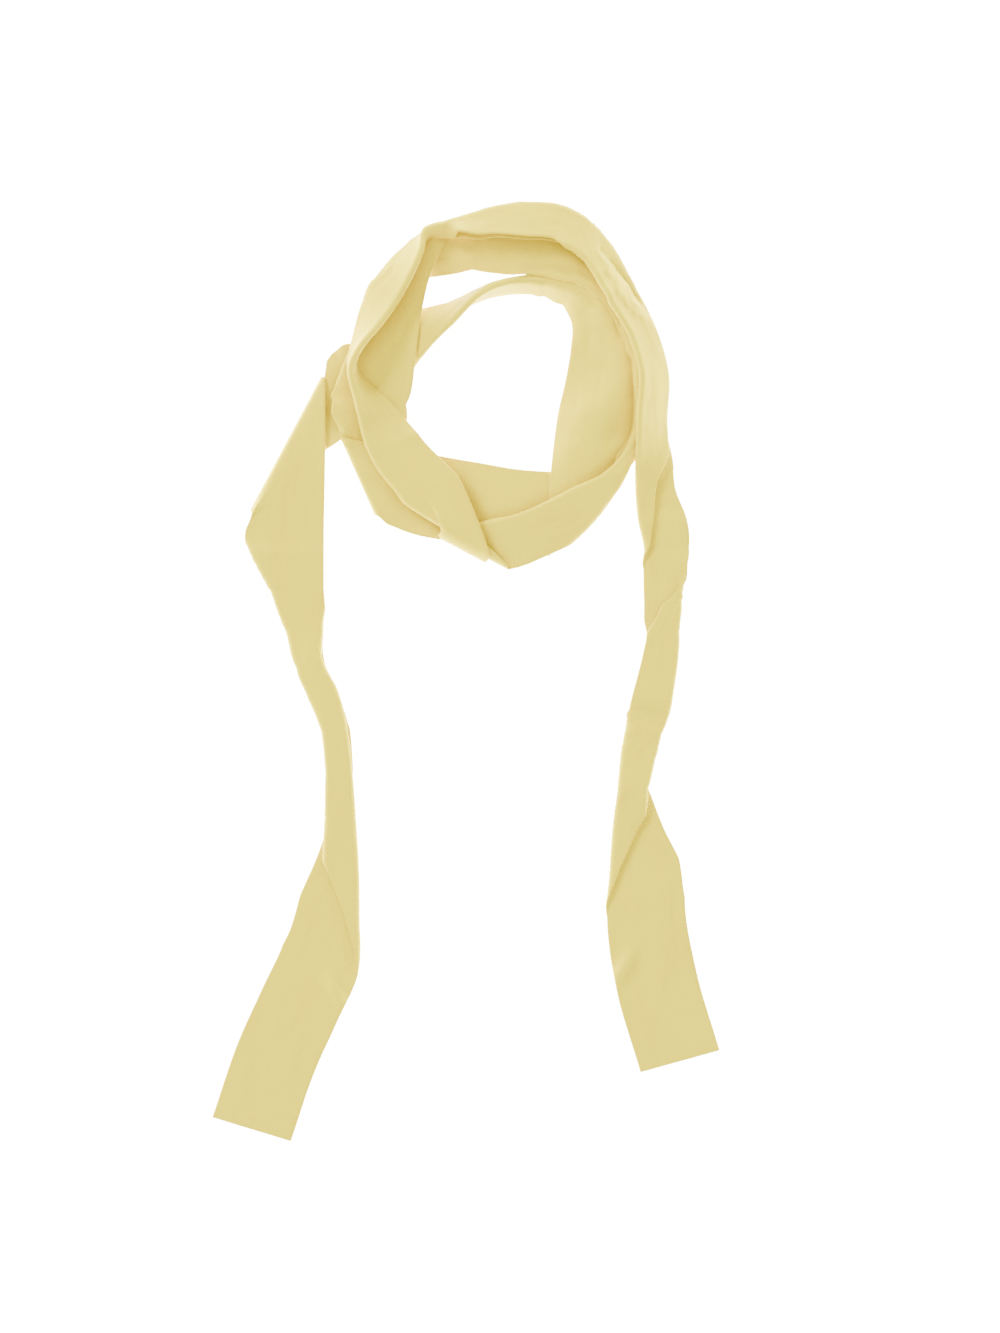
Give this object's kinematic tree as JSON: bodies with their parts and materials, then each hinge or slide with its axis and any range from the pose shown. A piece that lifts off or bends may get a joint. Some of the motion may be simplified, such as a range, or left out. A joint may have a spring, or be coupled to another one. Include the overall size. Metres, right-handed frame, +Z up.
{
  "type": "scarf",
  "caption": "Long narrow scarf of plain double cloth, laid flat in a ring of loops with two open tails.",
  "frame": {"origin": "under the middle of the laid scarf, on the surface that it rests on", "axes": "+Z up from the surface, +Y from the open tails towards the ring, +X towards the right tail"},
  "size_m": [0.3152, 0.5858, 0.026],
  "materials": {
    "cloth": "smooth pale yellow satin double cloth"
  },
  "bodies": {
    "root": {"scarf_band": "cloth"}
  },
  "joints": []
}
